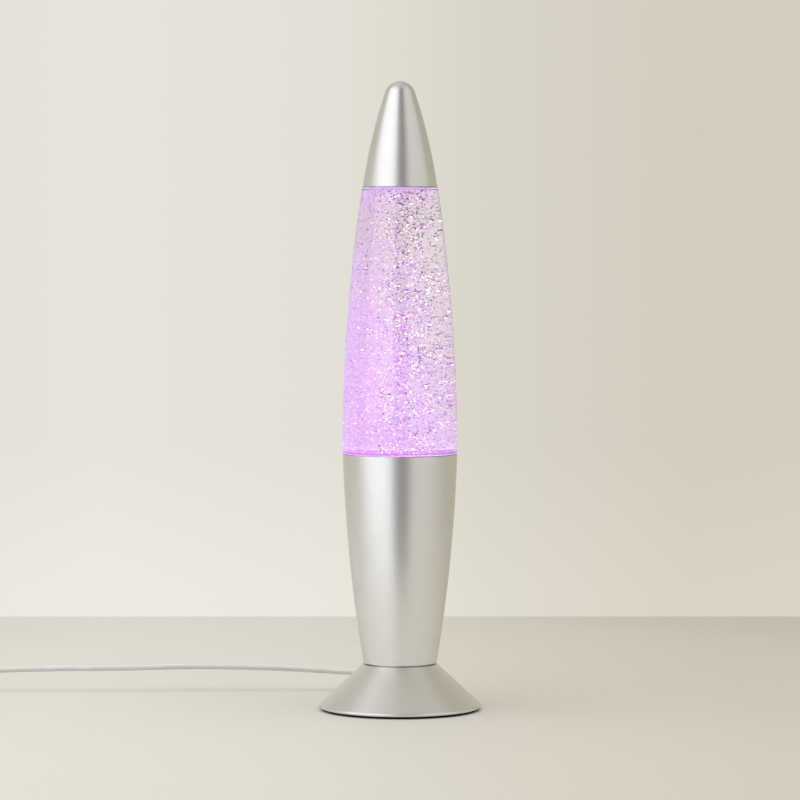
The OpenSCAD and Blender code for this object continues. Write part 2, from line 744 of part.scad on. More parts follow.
// Inside of the bottle, drawn in by play all round and filled up to top_z
module bottle_inside_2d(play, top_z) {
    low_z = bottle_floor_z + play;
    blend_z = rim_z + seat_band;
    full_z = blend_z + blend_h;
    ceiling_z = shoulder_z - glass_t - play;
    side_2d(cup_side, low_z, blend_z, insert_inset + glass_t + play);
    polygon([
        [0, blend_z], [side_r(cup_side, blend_z, insert_inset + glass_t + play), blend_z],
        [side_r(glass_side, full_z, glass_t + play), full_z], [0, full_z]
    ]);
    side_2d(glass_side, full_z, ceiling_z, glass_t + play);
    translate([0, ceiling_z - past]) square([bore_r - play, top_z - ceiling_z + past]);
}

module glass_bottle() {
    color("#dfe9ee", 0.35) rotate_extrude() difference() {
        bottle_outside_2d();
        difference() {
            bottle_inside_2d(0, neck_z + past);
            translate([0, bottle_floor_z]) square([pip_r, pip_h]);
        }
    }
}

module liquid_fill() {
    color("#d9b3ff", 0.4) rotate_extrude() difference() {
        bottle_inside_2d(liquid_play, liquid_top_z);
        translate([0, bottle_floor_z])
            square([rotor_r + stirrer_room, stirrer_lift + stirrer_t + vane_h + stirrer_room]);
    }
}

// Flakes spread through the liquid on a golden-angle spiral, each turned its own way
module glitter_flakes() {
    low_z = rim_z + flake_margin;
    high_z = shoulder_z - flake_margin;
    color("#e8d8ff") for (i = [0 : flake_count - 1]) {
        z = low_z + (high_z - low_z) * (i + 0.5) / flake_count;
        share = (i * flake_step) % 1;
        r = sqrt(share) * (side_r(glass_side, z, glass_t) - flake_clear);
        rotate(i * golden_angle) translate([r, 0, z]) rotate(i * flake_tilts)
            cylinder(r = flake_r, h = flake_t, center = true, $fn = 6);
    }
}

module stirrer() {
    color("#f0f0f2") difference() {
        translate([0, 0, stirrer_z]) {
            cylinder(r = rotor_r, h = stirrer_t);
            for (a = [0 : 90 : 270]) rotate(a) translate([vane_in, -vane_t / 2, stirrer_t - sink])
                cube([rotor_r - vane_in - vane_out, vane_t, vane_h + sink]);
        }
        translate([0, 0, bottle_floor_z]) cylinder(r = pip_r + run_play, h = pip_h + seat_play);
        at_magnets(stirrer_z - past) cylinder(r = magnet_r + run_play, h = magnet_h + past);
    }
}

module stirrer_magnets() {
    color("#c9cbd0") at_magnets(stirrer_z) cylinder(r = magnet_r, h = magnet_h);
}

module bottle_stopper() {
    color("#e4e4e6") {
        translate([0, 0, neck_z - stopper_plug_h])
            cylinder(r = bore_r - fit_play, h = stopper_plug_h + seal_t + past);
        translate([0, 0, neck_z + seal_t]) cylinder(r = neck_r, h = stopper_flange_t);
    }
}

module stopper_seal() {
    color("#2a2a2c") translate([0, 0, neck_z]) tube(neck_r, bore_r, seal_t);
}

// Cap

module cap_2d(inset, z0 = 0) {
    intersection() {
        translate(cap_arc_c) circle(r = cap_arc_r - inset, $fn = arc_fn);
        translate([0, z0]) square([far, cap_join_z - z0]);
    }
    intersection() {
        translate([0, cap_tip_z]) circle(r = cap_tip_r - inset);
        translate([0, cap_join_z - past]) square([far, far]);
    }
}

module top_cap() {
    color("#d3d1cb") translate([0, 0, shoulder_z]) rotate_extrude() difference() {
        cap_2d(0);
        cap_2d(cap_wall, -past);
    }
}

module cap_ring() {
    color("#38383b") translate([0, 0, shoulder_z]) rotate_extrude() difference() {
        intersection() {
            cap_2d(cap_wall + fit_play);
            translate([0, cap_ring_lift]) square([far, cap_ring_h]);
        }
        square([neck_r + seat_play, far]);
    }
}

// Cord, its coil and its tie

module cord_run() {
    color("#ececee") tube_along(cord_run_route, cord_d / 2, cord_sides);
}

module cord_link() {
    color("#ececee") tube_along(cord_link_route, cord_d / 2, cord_sides);
}

module cord_tail() {
    color("#ececee") tube_along(cord_tail_route, cord_d / 2, cord_sides);
}

function coil_point(t) =
    let (
        part = coil_turns + coil_climb,
        k = min(floor(t / part), coil_layers - 1),
        u = t - k * part,
        v = max(0, (u - coil_turns) / coil_climb),
        inward = k % 2 == 0,
        swing = coil_pitch * coil_climb * (v - v * v),
        r = inward ? coil_out_r - coil_pitch * min(u, coil_turns) - swing
                   : coil_in_r + coil_pitch * min(u, coil_turns) + swing,
        z = coil_z + coil_pitch * (k + (1 - cos(180 * v)) / 2),
        a = 90 + 360 * t
    )
    [coil_c.x + r * cos(a), coil_c.y + r * sin(a), z];
coil_route = let (steps = coil_all_turns * coil_rings) concat(
    [coil_point(0) + [cord_d, 0, 0]],
    [for (i = [0 : steps]) coil_point(i / coil_rings)],
    [coil_point(coil_all_turns) + [cord_d, 0, 0]]
);

function route_length(p) = len(p) < 2 ? 0 : [for (i = 1, s = norm(p[1] - p[0]); i < len(p);
    i = i + 1, s = i < len(p) ? s + norm(p[i] - p[i - 1]) : s) s][len(p) - 2];
function least_gap(p, d) = min([
    for (i = [0 : len(p) - 2], j = [i + 1 : len(p) - 1]) if (j - i > coil_rings / 2) norm(p[j] - p[i]) - d
]);
union() {  // cord_coil
    echo(coil_least_gap_mm = least_gap(coil_route, cord_d), coil_length_mm = route_length(coil_route));
    echo(free_cord_mm = route_length(cord_run_route) + route_length(cord_link_route)
        + route_length(cord_tail_route) + route_length(coil_route) + switch_l);
}

module cord_coil() {
    color("#ececee") tube_along(coil_route, cord_d / 2, coil_sides);
}

module coil_tie() {
    inner_w = coil_out_r - coil_in_r + coil_pitch / 4 + cord_d + 2 * tie_play;
    inner_h = coil_pitch * (coil_layers - 1) + cord_d + 2 * tie_play;
    mid = [coil_c.x - (coil_in_r + coil_out_r) / 2, coil_c.y, coil_z + coil_pitch * (coil_layers - 1) / 2];
    color("#f5f5f5") translate(mid) rotate([90, 0, 0]) {
        translate([0, 0, -tie_w / 2]) difference() {
            round_slab(inner_w + 2 * tie_t, inner_h + 2 * tie_t, tie_w, tie_corner_r + tie_t);
            translate([0, 0, -past]) round_slab(inner_w, inner_h, tie_w + 2 * past, tie_corner_r);
        }
        translate([0, inner_h / 2 + tie_t * 2 / 3, 0]) rotate([-90, 0, 0])
            cylinder(r = tie_end_r, h = tie_end_l);
    }
}

// Switch on the cord, in its own frame

module switch_place() {
    translate([switch_c.x, switch_c.y, 0]) children();
}

module switch_cavity(z0, z1) {
    thick = 2 * switch_wall;
    translate([0, 0, z0])
        round_slab(switch_l - thick, switch_w - thick, z1 - z0, switch_corner_r - switch_wall);
}

module switch_ports() {
    translate([0, 0, switch_split]) along_x(-switch_l, switch_l, cord_d / 2 + port_play);
}

module at_bosses() {
    for (s = [-1, 1]) translate([s * boss_at.x, s * boss_at.y, 0]) children();
}

module switch_lower_shell() {
    color("#efeff0") switch_place() difference() {
        union() {
            difference() {
                round_slab(switch_l, switch_w, switch_split, switch_corner_r);
                switch_cavity(switch_wall, switch_split + past);
            }
            at_bosses() cylinder(r = boss_or, h = switch_split);
        }
        switch_ports();
        at_bosses() translate([0, 0, -past]) {
            cylinder(r = screw_r + fit_play, h = switch_split + 2 * past);
            cylinder(r = switch_head_r + 2 * fit_play, h = past + screw_head_t + fit_play);
        }
    }
}

module switch_upper_shell() {
    color("#efeff0") switch_place() difference() {
        union() {
            difference() {
                translate([0, 0, switch_split])
                    round_slab(switch_l, switch_w, switch_h - switch_split, switch_corner_r);
                switch_cavity(switch_split - past, switch_h - switch_wall);
            }
            at_bosses() translate([0, 0, switch_split])
                cylinder(r = boss_or, h = switch_h - switch_split - sink);
            for (s = [-1, 1])
                translate([-cheek_l / 2, s * (window_w + cheek_t) / 2 - cheek_t / 2, switch_split])
                    cube([cheek_l, cheek_t, switch_h - switch_split - sink]);
        }
        switch_ports();
        translate([-window_l / 2, -window_w / 2, switch_split]) cube([window_l, window_w, switch_h]);
        translate([0, 0, rocker_z])
            along_y(-window_w / 2 - cheek_t, window_w / 2 + cheek_t, pin_r + fit_play / 2);
        at_bosses() translate([0, 0, switch_split - past])
            cylinder(r = screw_r, h = switch_screw_l + 2 * past);
    }
}

module switch_pin() {
    half = window_w / 2 + cheek_t - fit_play;
    color("#b4b6b9") switch_place() translate([0, 0, rocker_z]) along_y(-half, half, pin_r);
}

module switch_rocker() {
    half = rocker_l / 2;
    dip = rocker_sink + rocker_proud;
    rise = dip + half * tan(rocker_tilt) * rocker_rise;
    color("#dcdcdf") switch_place() translate([0, 0, rocker_z]) rotate([0, rocker_tilt, 0]) difference() {
        rotate([90, 0, 0]) translate([0, 0, -rocker_w / 2]) linear_extrude(rocker_w) polygon([
            [-half, rise], [0, dip], [half, rise], [half, dip - rocker_end_t],
            [rocker_hub_r, -rocker_keel], [-rocker_hub_r, -rocker_keel], [-half, dip - rocker_end_t]
        ]);
        along_y(-rocker_w, rocker_w, pin_r + run_play);
    }
}

module switch_contacts() {
    color("#c9a24a") switch_place() translate([0, -contact.y / 2, switch_wall]) for (s = [-1, 1]) {
        translate([s * contact_x - contact.x / 2, 0, 0]) cube(contact);
        translate([s * (contact_x + contact_up_x) - contact.z / 2, 0, 0])
            cube([contact.z, contact.y, contact_up_h]);
    }
}

module switch_screws() {
    color("#9a9ca0") switch_place() at_bosses() {
        translate([0, 0, 2 * fit_play]) cylinder(r = switch_head_r, h = screw_head_t - 2 * fit_play);
        cylinder(r = screw_r - run_play, h = switch_split + switch_screw_l);
    }
}

// Plug at the end of the cord

module plug_place() {
    translate([plug_x, plug_y, grip_h / 2]) rotate([0, 90, 0]) rotate(90) children();
}

module plug_grip() {
    color("#ececee") plug_place() difference() {
        union() {
            round_slab(grip_w, grip_h, grip_l, grip_corner_r);
            translate([0, 0, -plug_neck_l]) cylinder(
                r1 = cord_d / 2 + plug_neck_t, r2 = grip_h / 2 - plug_neck_step, h = plug_neck_l + sink
            );
        }
        translate([0, 0, -plug_neck_l - past]) cylinder(r = cord_d / 2 + port_play, h = plug_bore_l + past);
        translate([0, 0, grip_l - usb_in]) linear_extrude(usb_in + past)
            square([usb_w + 2 * fit_play, usb_h + 2 * fit_play], center = true);
    }
}

module plug_shell() {
    color("#c3c6ca") plug_place() translate([0, 0, grip_l - usb_in]) difference() {
        linear_extrude(usb_in + usb_l) square([usb_w, usb_h], center = true);
        translate([0, 0, -past]) linear_extrude(usb_in + usb_l + 2 * past)
            square([usb_w - 2 * usb_wall, usb_h - 2 * usb_wall], center = true);
        for (x = [-1, 1]) translate([x * notch_x, 0, usb_in + usb_l * notch_share])
            cube([notch.x, usb_h + 2 * past, notch.y], center = true);
    }
}

module plug_tongue() {
    w = usb_w - 2 * usb_wall - 2 * fit_play;
    h = usb_h - 2 * usb_wall - 2 * fit_play;
    color("#f7f7f7") plug_place() translate([0, 0, grip_l - usb_in]) {
        translate([-w / 2, -h / 2, 0]) cube([w, h, usb_in]);
        translate([-w / 2, -h / 2, 0]) cube([w, h * tongue_share, usb_in + usb_l - tongue_back]);
    }
}

anti_slip_pad();
bottom_cover();
base_foot();
base_cup();
centre_tube();
tube_nuts();
tube_washers();
light_tray();
motor_case();
motor_end_cap();
motor_screws();
motor_shaft();
drive_disc();
drive_magnets();
led_board();
leds();
control_chip();
diffuser();
cord_leads();
motor_leads();
inner_cord();
cord_bush();
glass_bottle();
liquid_fill();
glitter_flakes();
stirrer();
stirrer_magnets();
bottle_stopper();
stopper_seal();
top_cap();
cap_ring();
cord_run();
switch_lower_shell();
switch_upper_shell();
switch_rocker();
switch_pin();
switch_contacts();
switch_screws();
cord_link();
cord_coil();
coil_tie();
cord_tail();
plug_grip();
plug_shell();
plug_tongue();
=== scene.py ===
"""Looks of a liquid motion lamp: satin metal, a glitter bottle lit violet from below, and a white lead."""

import math

import bmesh
import bpy
import numpy as np
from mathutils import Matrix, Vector


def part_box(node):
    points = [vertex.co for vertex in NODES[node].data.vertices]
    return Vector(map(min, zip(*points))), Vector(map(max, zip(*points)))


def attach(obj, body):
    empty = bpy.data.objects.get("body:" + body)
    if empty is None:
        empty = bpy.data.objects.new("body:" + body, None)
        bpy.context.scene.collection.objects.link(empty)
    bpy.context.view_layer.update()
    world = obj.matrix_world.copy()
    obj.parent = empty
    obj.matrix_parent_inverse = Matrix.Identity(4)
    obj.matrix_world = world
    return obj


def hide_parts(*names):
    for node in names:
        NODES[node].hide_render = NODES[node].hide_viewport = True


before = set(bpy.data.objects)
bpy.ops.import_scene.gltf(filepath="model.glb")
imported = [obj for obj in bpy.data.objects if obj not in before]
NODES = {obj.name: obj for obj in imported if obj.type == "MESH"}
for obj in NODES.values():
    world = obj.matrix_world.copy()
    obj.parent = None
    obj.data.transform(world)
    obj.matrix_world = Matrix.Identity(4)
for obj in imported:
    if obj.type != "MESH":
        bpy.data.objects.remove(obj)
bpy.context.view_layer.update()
MM = 0.001
SEED = 20

scene = bpy.context.scene
scene.view_settings.view_transform = "Standard"


def new_object(name, data):
    """Object in the scene."""
    piece = bpy.data.objects.new(name, data)
    scene.collection.objects.link(piece)
    return piece


# Camera, in the photograph's square frame

FRAME_PX = 800
FOCAL_PX = 3637
SENSOR = 36.0
VIEW_DEPTH = 50.0
CAMERA_BACK = 2347 * MM
CAMERA_HIGH = 304.3 * MM
CAMERA_TILT = math.radians(2.53)


def make_camera():
    data = bpy.data.cameras.new("camera")
    data.sensor_width = SENSOR
    data.lens = SENSOR * FOCAL_PX / FRAME_PX
    data.clip_end = VIEW_DEPTH
    camera = new_object("camera", data)
    camera.location = (0, -CAMERA_BACK, CAMERA_HIGH)
    camera.rotation_euler = (math.pi / 2 - CAMERA_TILT, 0, 0)
    scene.camera = camera


make_camera()


# Cord, along the route that the solids follow. The route and the coil are in millimetres

RUN_ROUTE = [
    (0, 60, 12.4), (0, 68, 12.4), (-2, 76, 12.4), (-8, 84, 12.4), (-17, 91, 12.4), (-28, 95.5, 12.4),
    (-40, 97.5, 12.8), (-58, 98, 13.8), (-75, 98, 14.8), (-90, 97.5, 15.4), (-108, 97.5, 15.9),
    (-124, 97.5, 16.1), (-140, 97, 16.2), (-156, 96.5, 16.1), (-172, 95, 15.8), (-188, 93.8, 15.6),
    (-204, 93.2, 15.5), (-220, 93.2, 15.4), (-236, 93.2, 15.2), (-252, 93, 14.9), (-266, 93, 14.4),
    (-276, 93, 13.4), (-284, 93, 11.6), (-290, 93, 9.6), (-295, 93, 8), (-300, 93, 7.1), (-307, 93, 7),
]
LINK_ROUTE = [
    (-351, 93, 7), (-358, 93, 7), (-364, 93, 6.4), (-371, 93, 4.9), (-378, 93, 3.4), (-384, 93, 2.8),
]
TAIL_ROUTE = [
    (-383, 43.3, 15.4), (-376, 43.3, 14.2), (-368, 43.3, 11.6), (-360, 43.3, 8.4), (-352, 43.3, 5.4),
    (-345, 43.3, 4.2), (-339, 43.3, 4.2),
]
ROUTE_STEPS = 3
COIL_CENTRE = (-392, 68.15)
COIL_IN_R = 15.4
COIL_PITCH = 4.2
COIL_LAYERS = 4
COIL_TURNS = 2.25
COIL_CLIMB = 0.5
COIL_LOW = 2.8
COIL_STEPS = 36
CORD_D = 3.6 * MM
CORD_ROUNDNESS = 5


def coil_point(t):
    """Point of the coil after t turns. A layer spirals in or out, and then climbs in half a turn."""
    out_r = COIL_IN_R + COIL_PITCH * COIL_TURNS
    layer = min(int(t / (COIL_TURNS + COIL_CLIMB)), COIL_LAYERS - 1)
    turned = t - layer * (COIL_TURNS + COIL_CLIMB)
    climb = max(0.0, (turned - COIL_TURNS) / COIL_CLIMB)
    along = COIL_PITCH * min(turned, COIL_TURNS)
    swing = COIL_PITCH * COIL_CLIMB * (climb - climb * climb)
    r = out_r - along - swing if layer % 2 == 0 else COIL_IN_R + along + swing
    angle = math.pi / 2 + 2 * math.pi * t
    z = COIL_LOW + COIL_PITCH * (layer + (1 - math.cos(math.pi * climb)) / 2)
    return Vector((COIL_CENTRE[0] + r * math.cos(angle), COIL_CENTRE[1] + r * math.sin(angle), z))


def coil_points():
    turns = COIL_LAYERS * COIL_TURNS + (COIL_LAYERS - 1) * COIL_CLIMB
    count = round(turns * COIL_STEPS)
    return [coil_point(turns * i / count) for i in range(count + 1)]


def curve_point(a, b, c, d, t):
    """Point between b and c, at t from 0 to 1, on a smooth curve through four points."""
    square = 2 * a - 5 * b + 4 * c - d
    cube = 3 * b - a - 3 * c + d
    return 0.5 * (2 * b + (c - a) * t + square * t ** 2 + cube * t ** 3)


def smooth_line(points):
    """Points of a smooth curve through the given ones."""
    p = [Vector(q) for q in points]
    p = [2 * p[0] - p[1]] + p + [2 * p[-1] - p[-2]]
    line = [
        curve_point(*four, i / ROUTE_STEPS)
        for four in zip(p, p[1:], p[2:], p[3:])
        for i in range(ROUTE_STEPS)
    ]
    return line + [p[-2]]


def make_cord():
    """Cord as one curve. Its radius is set at each point, so the bevel's own depth is 1."""
    line = smooth_line(RUN_ROUTE + LINK_ROUTE) + coil_points() + smooth_line(TAIL_ROUTE)
    data = bpy.data.curves.new("power_cord", "CURVE")
    data.dimensions = "3D"
    data.bevel_depth = 1.0
    data.bevel_resolution = CORD_ROUNDNESS
    data.use_fill_caps = True
    spline = data.splines.new("POLY")
    spline.points.add(len(line) - 1)
    for point, place in zip(spline.points, line):
        point.co = (*(place * MM), 1)
        point.radius = CORD_D / 2
    cord = new_object("power_cord", data)
    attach(cord, "base")
    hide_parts("cord_run", "cord_link", "cord_coil", "cord_tail")
    return cord


cord = make_cord()


# Colours and nodes

NOISE_ROUGH = 0.55


def srgb(code):
    """Linear colour of a hex code."""
    parts = [int(code[i:i + 2], 16) / 255 for i in (0, 2, 4)]
    linear = [p / 12.92 if p <= 0.04045 else ((p + 0.055) / 1.055) ** 2.4 for p in parts]
    return (*linear, 1.0)


def scaled(colour, factor):
    """Colour times a number, or times a number for each of red, green and blue."""
    return (*np.multiply(colour[:3], factor), 1.0)


def feed(socket, value):
    """Links a socket to a source, or sets a fixed value on it."""
    if isinstance(value, bpy.types.NodeSocket):
        socket.id_data.links.new(value, socket)
    else:
        socket.default_value = value


def fill(node, **values):
    """Sets a node's settings by name, and feeds its inputs by name, with _ for a space."""
    for key, value in values.items():
        if hasattr(node, key):
            setattr(node, key, value)
        else:
            feed(node.inputs[key.replace("_", " ")], value)


def add(tree, kind, **values):
    """New node with the given settings and inputs."""
    node = tree.nodes.new(kind)
    fill(node, **values)
    return node


def new_material(name, **values):
    """Material, its node tree and its shader with the given inputs."""
    mat = bpy.data.materials.new(name)
    mat.use_nodes = True
    tree = mat.node_tree
    shader = tree.nodes["Principled BSDF"]
    fill(shader, **values)
    return mat, tree, shader


def coordinates(tree, space="Object"):
    """Outputs X, Y and Z of a point's place, or in the world's Generated space of a direction."""
    place = add(tree, "ShaderNodeTexCoord").outputs[space]
    return add(tree, "ShaderNodeSeparateXYZ", Vector=place).outputs


def noise(tree, scale, detail):
    """Noise in object space, with its scale in waves per metre."""
    place = add(tree, "ShaderNodeTexCoord").outputs["Object"]
    wave = add(tree, "ShaderNodeTexNoise", Vector=place, Scale=scale, Detail=detail, Roughness=NOISE_ROUGH)
    return wave.outputs["Fac"]


def calculate(tree, operation, *terms, clamp=False):
    """Result of a sum or the like on sockets or numbers."""
    node = add(tree, "ShaderNodeMath", operation=operation, use_clamp=clamp)
    for socket, term in zip(node.inputs, terms):
        feed(socket, term)
    return node.outputs[0]


def map_range(tree, value, low, high, to_low=0.0, to_high=1.0, kind="LINEAR"):
    """Maps a range of values on to another, and holds its ends."""
    node = add(tree, "ShaderNodeMapRange", interpolation_type=kind, Value=value,
               From_Min=low, From_Max=high, To_Min=to_low, To_Max=to_high)
    return node.outputs["Result"]


def spread(tree, value, low, high):
    """Maps a 0 to 1 value on to a range."""
    return map_range(tree, value, 0, 1, low, high)


def ramp(tree, value, stops):
    """Colour ramp over (place, colour) stops, with places from 0 to 1."""
    node = add(tree, "ShaderNodeValToRGB", Fac=value)
    while len(node.color_ramp.elements) < len(stops):
        node.color_ramp.elements.new(0.5)
    for element, (place, colour) in zip(node.color_ramp.elements, stops):
        element.position = place
        element.color = colour
    return node.outputs["Color"]


def ramp_between(tree, value, low, high, stops):
    """Colour ramp over stops whose places lie between a low and a high value."""
    shares = [((place - low) / (high - low), colour) for place, colour in stops]
    return ramp(tree, map_range(tree, value, low, high), shares)


def two_tone(tree, value, ends, first, second):
    """Colour that turns from one to another between two values."""
    return ramp(tree, value, list(zip(ends, (first, second))))


def greys(levels):
    """Stops of grey from (place, level) pairs."""
    return [(place, (level, level, level, 1)) for place, level in levels]


def mix_colours(tree, share, first, second):
    mix = add(tree, "ShaderNodeMix", data_type="RGBA", Factor=share, A=first, B=second)
    return mix.outputs["Result"]


def mix_shaders(tree, share, first, second):
    mix = add(tree, "ShaderNodeMixShader")
    for socket, source in zip(mix.inputs, (share, first, second)):
        feed(socket, source)
    return mix.outputs[0]


def bump(tree, shader, height, depth, strength):
    node = add(tree, "ShaderNodeBump", Height=height, Distance=depth, Strength=strength)
    fill(shader, Normal=node.outputs["Normal"])


# Metals and plastics

# Scales of noise, in waves per metre
SATIN_CLOUD = 60
SATIN_GRAIN = 2600
METAL_GRAIN = 900
PLASTIC_CLOUD = 90
PLASTIC_GRAIN = 1500
FOAM_GRAIN = 500
SHEATH_GRAIN = 700
# Values of noise between which one colour turns into another
CLOUD_ENDS = (0.3, 0.7)
WORN_ENDS = (0.35, 0.65)
SATIN_TINTS = ((0.83, 0.835, 0.845, 1), (0.86, 0.865, 0.875, 1))
SATIN_EDGE_TINT = (0.85, 0.83, 0.77, 1)
SATIN_ROUGH = (0.31, 0.37)
SATIN_DEPTH = 0.004 * MM
SATIN_BUMP = 0.5
WORN_SHADE = 0.82
METAL_ROUGH_RANGE = 0.06
PLASTIC_SHADE = 0.93
PLASTIC_ROUGH_RANGE = 0.05
PLASTIC_DEPTH = 0.01 * MM
PLASTIC_BUMP = 0.6
FOAM_DEPTH = 0.06 * MM
# Milky plastic: light runs on inside it, and its underside stays pale
MILKY = {"Subsurface_Weight": 1.0, "Subsurface_Radius": (1, 1, 1), "Subsurface_Scale": 8 * MM}


def satin_silver():
    """Fine blasted and lacquered aluminium."""
    mat, tree, shader = new_material("satin_silver", Metallic=1.0, Specular_Tint=SATIN_EDGE_TINT)
    cloud = noise(tree, SATIN_CLOUD, detail=2)
    grain = noise(tree, SATIN_GRAIN, detail=2)
    tint = two_tone(tree, cloud, CLOUD_ENDS, *SATIN_TINTS)
    fill(shader, Base_Color=tint, Roughness=spread(tree, grain, *SATIN_ROUGH))
    bump(tree, shader, grain, SATIN_DEPTH, SATIN_BUMP)
    return mat


def plain_metal(name, code, rough):
    """Metal that is darker where it is worn."""
    mat, tree, shader = new_material(name, Metallic=1.0)
    grain = noise(tree, METAL_GRAIN, detail=4)
    base = srgb(code)
    tint = two_tone(tree, grain, WORN_ENDS, scaled(base, WORN_SHADE), base)
    dull = spread(tree, grain, rough - METAL_ROUGH_RANGE, rough + METAL_ROUGH_RANGE)
    fill(shader, Base_Color=tint, Roughness=dull)
    return mat


def moulded(name, code, rough, grain_scale=PLASTIC_GRAIN, grain_depth=PLASTIC_DEPTH, **values):
    """Moulded plastic or rubber with a fine grain."""
    mat, tree, shader = new_material(name, **values)
    cloud = noise(tree, PLASTIC_CLOUD, detail=2)
    grain = noise(tree, grain_scale, detail=3)
    base = srgb(code)
    tint = two_tone(tree, cloud, CLOUD_ENDS, scaled(base, PLASTIC_SHADE), base)
    dull = spread(tree, grain, rough - PLASTIC_ROUGH_RANGE, rough + PLASTIC_ROUGH_RANGE)
    fill(shader, Base_Color=tint, Roughness=dull)
    bump(tree, shader, grain, grain_depth, PLASTIC_BUMP)
    return mat


# Glass, liquid and light

RIM_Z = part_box("base_cup")[1].z
SHOULDER_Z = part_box("top_cap")[0].z
GLASS_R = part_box("glass_bottle")[1].x
GLASS_IOR = 1.5
GLASS_LIGHT = (0.005, 0.001, 0.012, 1)
SUNK_LIGHT = (0.025, 0.01, 0.035, 1)
RIM_LIGHT = (0.085, 0.06, 0.105, 1)
SHOULDER_LIGHT = (0.17, 0.09, 0.22, 1)
GLASS_CLEAR = (0.99, 0.98, 1.0, 1)
# Painted shade: a darker lilac tint in lines just under the cap's edge
GLASS_PAINTED_SHADE = (0.66, 0.5, 0.78, 1)
# Light in the glass, and its tint with painted shade lines under the cap's edge, by height in millimetres
# over the cup's rim or over the shoulder
RIM_LIGHTS = [(-1, SUNK_LIGHT), (0, RIM_LIGHT), (2, RIM_LIGHT), (4.5, GLASS_LIGHT)]
SHOULDER_LIGHTS = [
    (-1.6, GLASS_LIGHT), (-1.2, SHOULDER_LIGHT), (-0.9, SHOULDER_LIGHT), (-0.6, GLASS_LIGHT),
]
SHOULDER_TINTS_AND_PAINTED_SHADE = [
    (-2.4, GLASS_CLEAR), (-2, GLASS_PAINTED_SHADE), (-1.6, GLASS_PAINTED_SHADE), (-1.3, GLASS_CLEAR), (-0.9, GLASS_CLEAR),
    (-0.6, GLASS_PAINTED_SHADE), (0, GLASS_PAINTED_SHADE), (1, GLASS_CLEAR),
]
# Light from below: by share of the height from rim to shoulder, from left to right, and in veils
GLOW_LEVELS = [(0.0, 1.0), (0.88, 0.12), (0.96, 0.42), (1.0, 0.5)]
GLOW_SIDES = (0.68, -0.72)
VEIL_SCALE = 45
VEIL_LEVELS = (-0.3, 0.3)
# Amounts of that light between which the liquid's and the flakes' colours change
LIQUID_ENDS = (0.0, 1.0)
FLAKE_ENDS = (0.1, 0.9)
LIQUID_IOR = 1.33
# Painted light: the liquid's near-white tint turns lilac where more light from below reaches it
LIQUID_PAINTED_LIGHT_TINTS = (srgb("fefbf8"), srgb("f3e5ff"))
LIQUID_GLOWS = ((0.04, 0.02, 0.0, 1), (0.58, 0.13, 1.0, 1.0))
LIQUID_STRENGTH = 0.165
FLAKE_UNLIT = 0.12
FLAKE_LIGHT = (0.82, 0.46, 1.0)
DIFFUSER_COLOUR = srgb("f0e8fa")
DIFFUSER_ROUGH = 0.6
DIFFUSER_FROST = 300
DIFFUSER_GLOWS = ((0.62, 0.34, 1.0, 1), (0.8, 0.5, 1.0, 1))
DIFFUSER_STRENGTH = 2.2


def over_height(z, stops):
    """Stops at heights in metres, from stops in millimetres over a height."""
    return [(z + rise * MM, colour) for rise, colour in stops]


def clear_glass():
    """Clear glass. Light from below runs up inside the wall and shows at its lower and upper ends. Its tint
    carries painted shade lines just under the cap.
    """
    mat, tree, shader = new_material("clear_glass", Transmission_Weight=1.0, IOR=GLASS_IOR, Roughness=0.0,
                                     Emission_Strength=1.0)
    height = coordinates(tree)["Z"]
    lights = over_height(RIM_Z, RIM_LIGHTS) + over_height(SHOULDER_Z, SHOULDER_LIGHTS)
    tints_and_painted_shade = over_height(SHOULDER_Z, SHOULDER_TINTS_AND_PAINTED_SHADE)
    low, high = lights[0][0], tints_and_painted_shade[-1][0]
    fill(shader, Base_Color=ramp_between(tree, height, low, high, tints_and_painted_shade),
         Emission_Color=ramp_between(tree, height, low, high, lights))
    return mat


def glow_field(tree):
    """How much light reaches a point: most at the bottom and left, some under the shoulder, in veils."""
    axes = coordinates(tree)
    upward = ramp(tree, map_range(tree, axes["Z"], RIM_Z, SHOULDER_Z), greys(GLOW_LEVELS))
    side = map_range(tree, axes["X"], -GLASS_R, GLASS_R, *GLOW_SIDES)
    veil = spread(tree, noise(tree, VEIL_SCALE, detail=3), *VEIL_LEVELS)
    return calculate(tree, "ADD", calculate(tree, "ADD", upward, side), veil, clamp=True)


def lit_liquid():
    """Clear liquid whose fine haze glows in the light from below. Its tint turns lilac where that light is
    more: painted light.
    """
    mat, tree, shader = new_material("lit_liquid", Transmission_Weight=1.0, IOR=LIQUID_IOR, Roughness=0.0,
                                     Emission_Strength=LIQUID_STRENGTH)
    field = glow_field(tree)
    fill(shader, Base_Color=two_tone(tree, field, LIQUID_ENDS, *LIQUID_PAINTED_LIGHT_TINTS),
         Emission_Color=two_tone(tree, field, LIQUID_ENDS, *LIQUID_GLOWS))
    return mat


def flake_film(name, code, rough, glow):
    """Metallized film, which also sends on some of the light from below."""
    base = srgb(code)
    mat, tree, shader = new_material(name, Base_Color=base, Metallic=1.0, Roughness=rough,
                                     Emission_Strength=glow)
    unlit, lit = scaled(base, FLAKE_UNLIT), scaled(base, FLAKE_LIGHT)
    fill(shader, Emission_Color=two_tone(tree, glow_field(tree), FLAKE_ENDS, unlit, lit))
    return mat


def lit_diffuser():
    """Frosted plate lit from below."""
    mat, tree, shader = new_material("lit_diffuser", Base_Color=DIFFUSER_COLOUR, Roughness=DIFFUSER_ROUGH,
                                     Emission_Strength=DIFFUSER_STRENGTH)
    frost = noise(tree, DIFFUSER_FROST, detail=2)
    fill(shader, Emission_Color=two_tone(tree, frost, CLOUD_ENDS, *DIFFUSER_GLOWS))
    return mat


# Materials of the CAD nodes and the cord

def dress(material, *names):
    """Gives CAD nodes a material."""
    for name in names:
        slots = NODES[name].data.materials
        slots.clear()
        slots.append(material)


